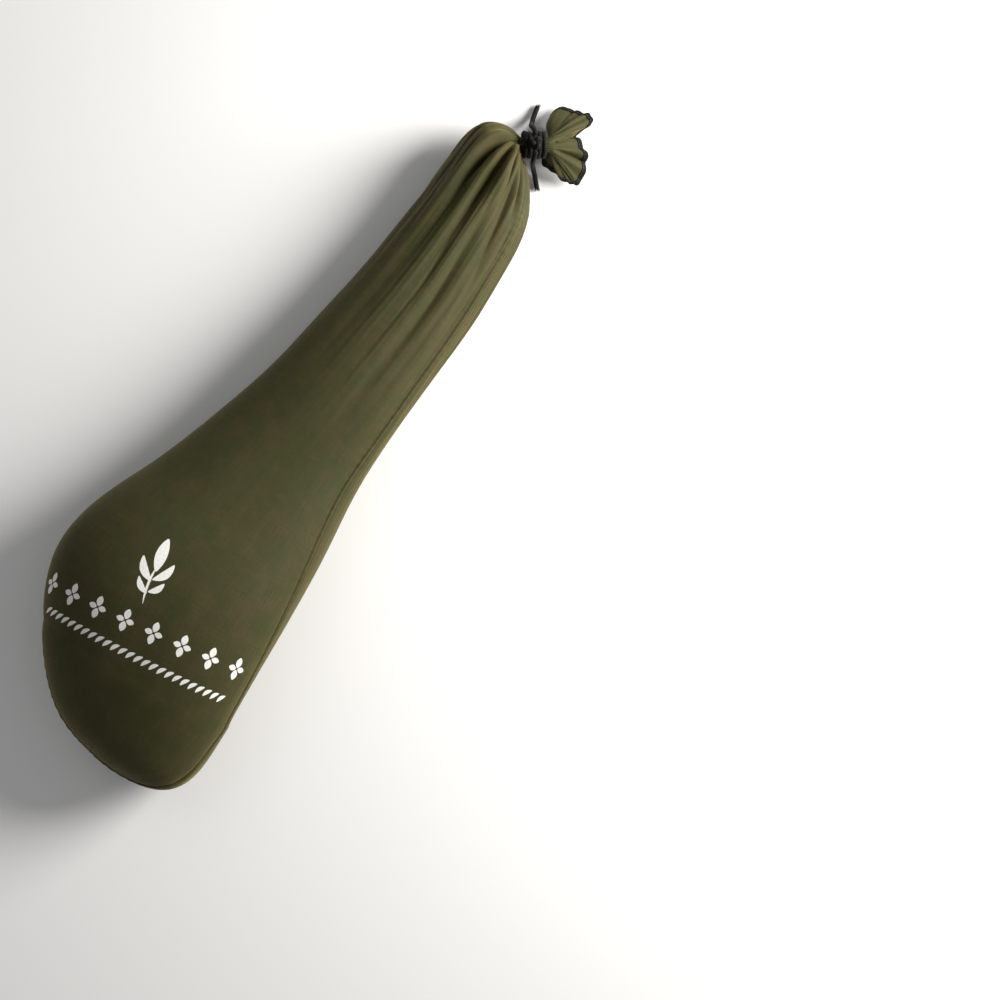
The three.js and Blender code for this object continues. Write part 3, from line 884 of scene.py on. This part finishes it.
def sheet_mesh(name, points, tip):
    """The grid of rings, closed at the butt's tip, with a map of it in metres."""
    steps, last = len(points) - 1, len(points) * AROUND
    nexts = np.roll(np.arange(AROUND), -1)
    faces = ring_faces([(j, j + 1) for j in range(steps)], AROUND)
    faces += [(nexts[i], i, last) for i in range(AROUND)]
    mesh = mesh_of(name, np.concatenate([points.reshape(-1, 3), [tip]]), faces)
    # lengths round and along the cloth, at each corner of each face
    turn = np.append(angles, math.tau)
    run = (back[0].mean() - back).mean(1)
    square = ((0, 0), (1, 0), (1, 1), (0, 1))
    spots = [(i + a, j + b) for j in range(steps) for i in range(AROUND) for a, b in square]
    columns, rows = np.array(spots).T
    tips = [spot for i in range(AROUND) for spot in ((i + 1, 0), (i, 0), (i + 0.5, -1))]
    tip_columns, tip_rows = np.array(tips, float).T
    tip_turn = np.interp(tip_columns, np.arange(AROUND + 1), turn)
    tip_run = np.where(tip_rows < 0, -TIP_CLOTH, 0)
    widest = arc.mean(1).max()
    uv = np.stack([np.append(turn[columns], tip_turn) * widest, np.append(run[rows], tip_run)], 1)
    mesh.uv_layers.new(name="UVMap").data.foreach_set("uv", uv.ravel())
    return mesh


bag = add_object("cloth_bag", sheet_mesh("cloth_bag", cloth_rings, pole))
solidify = bag.modifiers.new("cloth", "SOLIDIFY")
solidify.thickness = CLOTH
solidify.offset = -1
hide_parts("bag")


# ---------- the mouth's hem

HEM_WIDE = 6.4 * MM  # along the cloth
HEM_EXTRA_TAPE_AND_SHADOW = 3.6 * MM  # more black on the lower leaf's left side, partly the tape and partly a painted shadow of that side
HEM_SHADOW_AT, HEM_SHADOW_HALF = math.radians(200), math.radians(34)
HEM_THICK = 2.2 * MM
HEM_OVER = 1.5 * MM  # of the tape beyond the cloth's edge
HEM_SIDES = 14
HEM_SQUARE = (0.7, 0.8)  # 1 is an ellipse in section, less is squarer


def hem_lie():
    """The tape's middle round the mouth, the ways along the cloth and out of it, and its width."""
    edge = cloth_rings[-1]
    along = unit(cloth_rings[-1] - cloth_rings[-3])
    out = grid_normals(cloth_rings)[-1]
    out = unit(out - along * (out * along).sum(-1, keepdims=True))
    # widest on the lower leaf's left side, where the extra black is partly tape and partly painted
    # shadow
    whole = HEM_WIDE + HEM_EXTRA_TAPE_AND_SHADOW * np.exp(-(((angles - HEM_SHADOW_AT) / HEM_SHADOW_HALF) ** 2))
    return edge - out * CLOTH / 2 - along * (whole / 2 - HEM_OVER)[:, None], along, out, whole


def hem_mesh():
    """A black tape folded over the cloth's edge, all round the mouth. Where it is wider, on the
    lower leaf's left side, its black is partly tape and partly a painted shadow of that side.
    """
    centre, along, out, whole = hem_lie()
    turns = even_turns(HEM_SIDES)
    wide, thick = (
        np.sign(part) * np.abs(part) ** square
        for part, square in zip((np.cos(turns), np.sin(turns)), HEM_SQUARE)
    )
    wide, thick = wide * whole[:, None] / 2, thick * HEM_THICK / 2
    points = centre[:, None] + wide[..., None] * along[:, None]
    points = points + thick[None, :, None] * out[:, None]
    points[..., 2] = np.maximum(points[..., 2], LYING)
    faces = ring_faces([(j, (j + 1) % AROUND) for j in range(AROUND)], HEM_SIDES)
    faces = [(a, d, c, b) for a, b, c, d in faces]
    return mesh_of("mouth_hem", points.reshape(-1, 3), faces)


hem = add_object("mouth_hem", hem_mesh())

# ---------- the stitches

STITCH = 2.4 * MM
STITCH_PITCH = 3.4 * MM
STITCH_RADIUS = 0.32 * MM
STITCH_LIFT = 0.1 * MM
STITCH_SIDES = 6
STITCH_POINTS = 5
STITCH_SUNK = 0.4  # of its radius in the cloth
STITCH_FREE = 0.03  # of the seam by the neck, without stitches
SEAM_STITCH_OFF = 3.4 * MM  # of the seam's stitches, beside it
HEM_STITCH_IN = 1.6 * MM  # of the hem's stitches, from the tape's edge


def stitches_along(line, normals):
    """Short threads laid end to end along a line on the cloth, as points and faces."""
    run = lengths_along(line)
    shares = np.linspace(0, 1, STITCH_POINTS)
    arch = np.sin(np.linspace(0.15, math.pi - 0.15, STITCH_POINTS))
    last = (STITCH_POINTS - 1) * STITCH_SIDES
    thread = ring_faces([(k, k + 1) for k in range(STITCH_POINTS - 1)], STITCH_SIDES)
    thread += [range(STITCH_SIDES)[::-1], range(last, last + STITCH_SIDES)]
    points, faces = [], []
    for start in np.arange(STITCH_PITCH, run[-1] - STITCH_PITCH, STITCH_PITCH):
        places = start + shares * STITCH
        spots = at_each(places, run, line)
        up = unit(at_each(places, run, normals))
        side = np.cross(unit(spots[-1] - spots[0]), up)
        faces += [tuple(len(points) + corner for corner in face) for face in thread]
        for spot, out, aside_of, high in zip(spots, up, side, arch):
            centre = spot + out * (STITCH_LIFT * high - STITCH_RADIUS * STITCH_SUNK)
            for turn in even_turns(STITCH_SIDES):
                round_it = math.cos(turn) * aside_of + math.sin(turn) * out
                points.append(centre + round_it * STITCH_RADIUS * high**0.5)
    return points, faces


cloth_normals = grid_normals(cloth_rings)


def seam_stitch_line():
    """A line on the cloth beside the side seam, from near the neck to the butt."""
    line, normals = [], []
    off = SEAM_STITCH_OFF / arc
    for j in range(CAP_RINGS // 3, first_neck_ring):
        if back[j].mean() < STITCH_FREE:
            break
        angle = seam_at[j] - off[j, np.argmin(np.abs(angles - seam_at[j]))]
        line.append(at_each([angle], angles, cloth_rings[j])[0])
        normals.append(at_each([angle], angles, cloth_normals[j])[0])
    return np.array(line), np.array(normals)


def hem_stitch_line():
    """A line on the tape's outside, near the edge that's sewn down."""
    centre, along, out, whole = hem_lie()
    inner = centre - along * (whole / 2 - HEM_STITCH_IN)[:, None]
    return inner + out * (HEM_THICK / 2 + STITCH_LIFT), out


def stitch_mesh(name, lines):
    points, faces = [], []
    for line, normals in lines:
        more, more_faces = stitches_along(line, normals)
        faces += [tuple(corner + len(points) for corner in face) for face in more_faces]
        points += more
    return mesh_of(name, points, faces)


seam_thread = add_object("seam_stitches", stitch_mesh("seam_stitches", [seam_stitch_line()]))
hem_thread = add_object("hem_stitches", stitch_mesh("hem_stitches", [hem_stitch_line()]))


# ---------- the print

# White ink, across the butt: a leaf sprig above a row of petals and a twisted border. Places are in
# the view, to the right of and up from the bag's middle, in millimetres.
PRINT_FROM = (-249, -178)  # the row's left end
PRINT_TO = (-43, -273)
SPRIG_AT = (-133, -168)
SPRIG_LEAN = math.radians(-20)
# the stem, the top leaf and two pairs: root, tip, width and bend
SPRIG = [
    ((0, -35), (1, 6), 2.6, 0.05), ((1, 0), (2, 35), 12, 0.02),
    ((0, -11), (-16, 11), 8.5, 0.12), ((1, -9), (17, 12), 8.5, -0.12),
    ((0, -24), (-13, -10), 6.5, 0.12), ((1, -22), (14, -9), 6.5, -0.12),
]
BORDER_FROM = (-248, -208)
BORDER_TO = (-66, -301)
PETAL_GROUPS = 8
PETALS = [(12, 7, (0, 1)), (12, 7, (0, -1)), (9.5, 6, (1, 0)), (9.5, 6, (-1, 0))]
PETAL_ROOT = 1.3
BORDER_MARKS = 25
INK = 0.12 * MM  # above the cloth
INK_UNDER = 0.5 * MM

PRINT_ABOVE = 0.4  # where places in the view are looked down from
cloth_surface = surface_of(bag)


def laid(spots):
    """Points on the cloth under places in the view, and the cloth's normals there."""
    on_cloth, normals = [], []
    for right, up in spots:
        above = right * MM * neck_level + up * MM * neck_left + np.array([0, 0, PRINT_ABOVE])
        hit = cloth_surface.ray_cast(above, (0, 0, -1))
        on_cloth.append(np.array(hit[0]))
        normals.append(np.array(hit[1]))
    return np.array(on_cloth), np.array(normals)


def print_line(start, stop):
    """A function of the length of cloth along a line, for places on it, and the whole length."""
    spots = lerp(np.array(start, float), np.array(stop, float), np.linspace(0, 1, 160)[:, None])
    on_cloth, _ = laid(spots)
    run = lengths_along(on_cloth) / MM
    way = unit(np.array(stop, float) - start)

    def place(along, up):
        centre = np.stack([np.interp(along, run, spots[:, i]) for i in range(2)], -1)
        return centre + np.asarray(up)[..., None] * np.array([-way[1], way[0]])

    return place, run[-1]


def blade(root, tip, wide, bend=0.0, steps=18, across=5):
    """A leaf-shaped mark: a grid of places from root to tip, widest near its middle."""
    root, tip = np.array(root, float), np.array(tip, float)
    shares = np.linspace(0, 1, steps)[:, None]
    way = tip - root
    side = np.array([-way[1], way[0]])
    centre = root + shares * way + 4 * bend * shares * (1 - shares) * side
    half = wide / 2 * np.sin(math.pi * (0.02 + 0.96 * shares)) ** 0.75
    return centre[:, None] + np.linspace(-1, 1, across)[None, :, None] * half[:, None] * unit(side)


def ink_mesh(name, grids):
    """Thin closed patches on the cloth, one for each grid of places in the view."""
    points, faces = [], []
    for grid in grids:
        rows, columns = grid.shape[:2]
        on_cloth, normals = laid(grid.reshape(-1, 2))
        base = len(points)
        count = rows * columns
        points += [*(on_cloth + normals * INK), *(on_cloth - normals * INK_UNDER)]
        for j in range(rows - 1):
            for i in range(columns - 1):
                a = base + j * columns + i
                quad = (a, a + 1, a + 1 + columns, a + columns)
                faces += [quad, tuple(corner + count for corner in reversed(quad))]
        border = [*range(columns)]
        border += [j * columns + columns - 1 for j in range(1, rows)]
        border += [(rows - 1) * columns + i for i in range(columns - 2, -1, -1)]
        border += [j * columns for j in range(rows - 2, 0, -1)]
        for a, b in zip(border, border[1:] + border[:1]):
            faces.append((base + b, base + a, base + a + count, base + b + count))
    return mesh_of(name, points, faces, smooth=False)


def sprig():
    """A stem with a leaf at its top and two pairs below."""
    cos, sin = math.cos(SPRIG_LEAN), math.sin(SPRIG_LEAN)
    turn = np.array([[cos, -sin], [sin, cos]])
    return [blade(*leaf) @ turn.T + np.array(SPRIG_AT) for leaf in SPRIG]


def petals():
    """Four petals round each of the row's places."""
    place, length = print_line(PRINT_FROM, PRINT_TO)
    made = []
    for k in range(PETAL_GROUPS):
        centre = (k + 0.5) / PETAL_GROUPS * length
        for reach, wide, way in PETALS:
            grid = blade(np.array(way) * PETAL_ROOT, np.array(way) * reach, wide, steps=12)
            made.append(place(centre + grid[..., 0], grid[..., 1]))
    return made


def border():
    """Short slanted marks, as of a twisted cord."""
    place, length = print_line(BORDER_FROM, BORDER_TO)
    made = []
    for k in range(BORDER_MARKS):
        centre = (k + 0.5) / BORDER_MARKS * length
        grid = blade((-3.6, -4.4), (3.6, 4.4), 4.2, 0.1, steps=10, across=4)
        made.append(place(centre + grid[..., 0], grid[..., 1]))
    return made


ink = add_object("white_print", ink_mesh("white_print", sprig() + petals() + border()))


# ---------- the floor

FLOOR_HALF = 12
FLOOR_BELOW = 0.5 * MM
corners = ((-1, -1), (1, -1), (1, 1), (-1, 1))
floor_corners = [(x * FLOOR_HALF, y * FLOOR_HALF, 0) for x, y in corners]
floor_mesh = mesh_of("floor", floor_corners, [(0, 1, 2, 3)])
floor = bpy.data.objects.new("floor", floor_mesh)
floor.location.z = -FLOOR_BELOW
bpy.context.scene.collection.objects.link(floor)


# ---------- materials


class Nodes:
    """A material's node tree, built up with short calls."""

    def __init__(self, name):
        self.material = bpy.data.materials.new(name)
        self.material.use_nodes = True
        self.tree = self.material.node_tree
        self.shader = self.tree.nodes["Principled BSDF"]

    def add(self, kind, inputs=None, **settings):
        node = self.tree.nodes.new("ShaderNode" + kind)
        for key, value in settings.items():
            setattr(node, key, value)
        for key, value in (inputs or {}).items():
            self.put(node.inputs[key], value)
        return node

    def put(self, socket, value):
        if isinstance(value, bpy.types.NodeSocket):
            self.tree.links.new(value, socket)
        else:
            socket.default_value = value

    def math(self, operation, *values, clamp=False):
        node = self.add("Math", dict(enumerate(values)), operation=operation, use_clamp=clamp)
        return node.outputs[0]

    def place(self):
        return self.add("TexCoord").outputs["Object"]

    def noise(self, where, scale, detail=4.0, rough=0.5):
        inputs = {"Vector": where, "Scale": scale, "Detail": detail, "Roughness": rough}
        return self.add("TexNoise", inputs).outputs["Fac"]

    def ramp(self, value, stops):
        node = self.add("ValToRGB", {"Fac": value})
        marks = node.color_ramp.elements
        while len(marks) < len(stops):
            marks.new(0.5)
        for mark, (place, colour) in zip(marks, stops):
            mark.position = place
            mark.color = (*colour, 1) if len(colour) == 3 else colour
        return node.outputs["Color"]

    def between(self, share, a, b):
        node = self.add("Mix", data_type="RGBA")
        self.put(node.inputs["Factor"], share)
        for socket, colour in ((node.inputs[6], a), (node.inputs[7], b)):
            self.put(socket, colour if isinstance(colour, bpy.types.NodeSocket) else (*colour, 1))
        return node.outputs[2]

    def bump(self, height, strength, distance, under=None):
        inputs = {"Height": height, "Strength": strength, "Distance": distance}
        node = self.add("Bump", inputs)
        if under is not None:
            self.put(node.inputs["Normal"], under)
        return node.outputs["Normal"]

    def finish(self, **values):
        for key, value in values.items():
            self.put(self.shader.inputs[key.replace("_", " ")], value)
        return self.material


THREAD = 0.55 * MM
SLUB_SCALES = (900.0, 30.0)  # across and along a thread
OLIVE = [
    (0.34, (0.029, 0.036, 0.008)),
    (0.5, (0.043, 0.041, 0.0105)),
    (0.66, (0.060, 0.046, 0.015)),
]
OLIVE_PATCHES = [(0.4, (0.033, 0.042, 0.009)), (0.6, (0.066, 0.047, 0.017))]
OLIVE_GAP_SHADE = (0.022, 0.023, 0.006)  # painted shade of the gaps between the threads
OLIVE_SHEEN = (0.64, 0.49, 0.18, 1)


def cloth_material():
    n = Nodes("olive_cotton")
    place = n.place()
    uv = n.add("UVMap", uv_map="UVMap").outputs["UV"]
    split = n.add("SeparateXYZ", {"Vector": uv})
    round_it, along = split.outputs["X"], split.outputs["Y"]
    # threads, over and under
    warp = n.math("SINE", n.math("MULTIPLY", round_it, math.tau / THREAD))
    weft = n.math("SINE", n.math("MULTIPLY", along, math.tau / THREAD))
    weave = n.math("MULTIPLY", warp, weft)
    slubs, cross = (
        n.noise(n.add("Mapping", {"Vector": uv, "Scale": (*scales, 1.0)}).outputs[0], 1.0, 2.0)
        for scales in (SLUB_SCALES, SLUB_SCALES[::-1])
    )
    mottle = n.noise(place, 9.0, 5.0, 0.6)
    patches = n.noise(place, 46.0, 3.0, 0.55)
    worn = n.between(0.4, n.ramp(mottle, OLIVE), n.ramp(patches, OLIVE_PATCHES))
    threads = n.math("MULTIPLY_ADD", n.math("ADD", slubs, cross), 0.5, -0.5)
    threads = n.math("MULTIPLY_ADD", threads, 1.6, 0.36, clamp=True)
    # the darker olive is mixed in where the slub noise is high: painted shade of the gaps between
    # the threads
    colour = n.between(threads, worn, OLIVE_GAP_SHADE)
    height = n.math("MULTIPLY_ADD", weave, 0.25, n.math("ADD", slubs, cross))
    fine = n.bump(height, 0.35, 0.0004)
    wrinkle = n.bump(n.noise(place, 60.0, 4.0, 0.6), 0.12, 0.004, fine)
    return n.finish(
        Base_Color=colour,
        Roughness=n.math("MULTIPLY_ADD", slubs, 0.15, 0.62),
        Specular_IOR_Level=0.22,
        Normal=wrinkle,
        Sheen_Weight=0.36,
        Sheen_Roughness=0.42,
        Sheen_Tint=OLIVE_SHEEN,
    )


def noisy_material(name, grain, stops, bump, mottle=None, **values):
    """Bumped by noise of one grain, and coloured by it or by a mottle. Both are noise's values."""
    n = Nodes(name)
    place = n.place()
    fine = n.noise(place, *grain)
    colour = n.ramp(n.noise(place, *mottle) if mottle else fine, stops)
    return n.finish(Base_Color=colour, Normal=n.bump(fine, *bump), **values)


def plain_material(name, colour, rough):
    return Nodes(name).finish(Base_Color=(*colour, 1), Roughness=rough)


OLIVE_THREAD = [(0.3, (0.022, 0.023, 0.009)), (0.75, (0.050, 0.048, 0.020))]
TAPE_BLACK = [(0.3, (0.0025, 0.0025, 0.0025)), (0.8, (0.0075, 0.007, 0.0065))]
CORD_BLACK = [(0.3, (0.002, 0.002, 0.002)), (0.8, (0.007, 0.0065, 0.006))]
INK_WEAR = [(0.28, (0.45, 0.45, 0.38)), (0.42, (0.80, 0.80, 0.77)), (0.8, (0.86, 0.86, 0.84))]
RIND = [(0.3, (0.10, 0.035, 0.012)), (0.5, (0.24, 0.11, 0.035)), (0.68, (0.38, 0.22, 0.08))]
RIND_BLOOM = (0.62, 0.58, 0.45)


def rind_material():
    n = Nodes("cured_rind")
    place = n.place()
    blotch = n.noise(place, 14.0, 6.0, 0.62)
    bloom = n.ramp(n.noise(place, 55.0, 5.0, 0.7), [(0.55, (0, 0, 0)), (0.72, (1, 1, 1))])
    colour = n.between(n.math("MULTIPLY", bloom, 0.5), n.ramp(blotch, RIND), RIND_BLOOM)
    cells = {"Vector": place, "Scale": 60.0}
    creases = n.add("TexVoronoi", cells, feature="DISTANCE_TO_EDGE").outputs[0]
    fine = n.bump(n.noise(place, 220.0, 4.0, 0.6), 0.35, 0.001)
    skin = n.bump(creases, 0.3, 0.003, fine)
    rough = n.math("MULTIPLY_ADD", blotch, 0.3, 0.28)
    return n.finish(Base_Color=colour, Roughness=rough, Normal=skin, Subsurface_Weight=0.05)


def paint(piece, material):
    piece.data.materials.clear()
    piece.data.materials.append(material)


paint(bag, cloth_material())
tape_look = noisy_material(
    "black_tape",
    (700.0, 2.0),
    TAPE_BLACK,
    (0.5, 0.0004),
    mottle=(90.0, 3.0),
    Roughness=0.75,
    Specular_IOR_Level=0.12,
    Sheen_Weight=0.04,
    Sheen_Roughness=0.5,
)
cord_look = noisy_material(
    "black_cord",
    (1400.0, 2.0),
    CORD_BLACK,
    (0.6, 0.0003),
    mottle=(260.0, 3.0),
    Roughness=0.66,
    Specular_IOR_Level=0.15,
    Sheen_Weight=0.04,
    Sheen_Roughness=0.4,
)
thread_bump, ink_bump = (0.4, 0.0002), (0.3, 0.0003)
thread_look = noisy_material(
    "olive_thread", (2500.0, 2.0), OLIVE_THREAD, thread_bump, Roughness=0.6
)
paint(hem, tape_look)
paint(ink, noisy_material("white_ink", (420.0, 4.0, 0.7), INK_WEAR, ink_bump, Roughness=0.55))
paint(seam_thread, thread_look)
paint(hem_thread, plain_material("grey_thread", (0.05, 0.05, 0.045), 0.6))
for piece in cord_pieces:
    paint(piece, cord_look)
ham = frame["nodes"]["ham"]
ham.data.polygons.foreach_set("use_smooth", [True] * len(ham.data.polygons))
for ham_slot in ham.material_slots:
    ham_slot.material = rind_material()
paint(floor, plain_material("pale_floor", (0.86, 0.86, 0.86), 0.9))


# ---------- lights


def area_light(name, spot, aim, size, power, colour=(1, 1, 1)):
    data = bpy.data.lights.new(name, "AREA")
    data.shape = "DISK"
    data.size = size
    data.energy = power
    data.color = colour
    light = bpy.data.objects.new(name, data)
    light.location = spot
    light.rotation_euler = (Vector(aim) - Vector(spot)).to_track_quat("-Z", "Y").to_euler()
    bpy.context.scene.collection.objects.link(light)


def on_table(right, up, height):
    """A point by its place in the view: to the right of and up from the bag's middle."""
    return tuple(right * neck_level + up * neck_left + np.array([0, 0, height]))


KEY_AT, KEY_AIM = on_table(1.5, 0.38, 0.70), on_table(0, 0.12, 0.05)
FILL_AT, FILL_AIM = on_table(-1.0, 0.9, 1.9), on_table(0, 0, 0.05)
WORLD_STRENGTH = 0.26

area_light("key", KEY_AT, KEY_AIM, size=1.0, power=68, colour=(1, 0.975, 0.93))
area_light("fill", FILL_AT, FILL_AIM, size=1.6, power=3.5)

world = bpy.data.worlds.new("studio")
world.use_nodes = True
sky = world.node_tree.nodes["Background"]
sky.inputs["Color"].default_value = (1, 1, 1, 1)
sky.inputs["Strength"].default_value = WORLD_STRENGTH
bpy.context.scene.world = world
bpy.context.scene.view_settings.view_transform = "Standard"
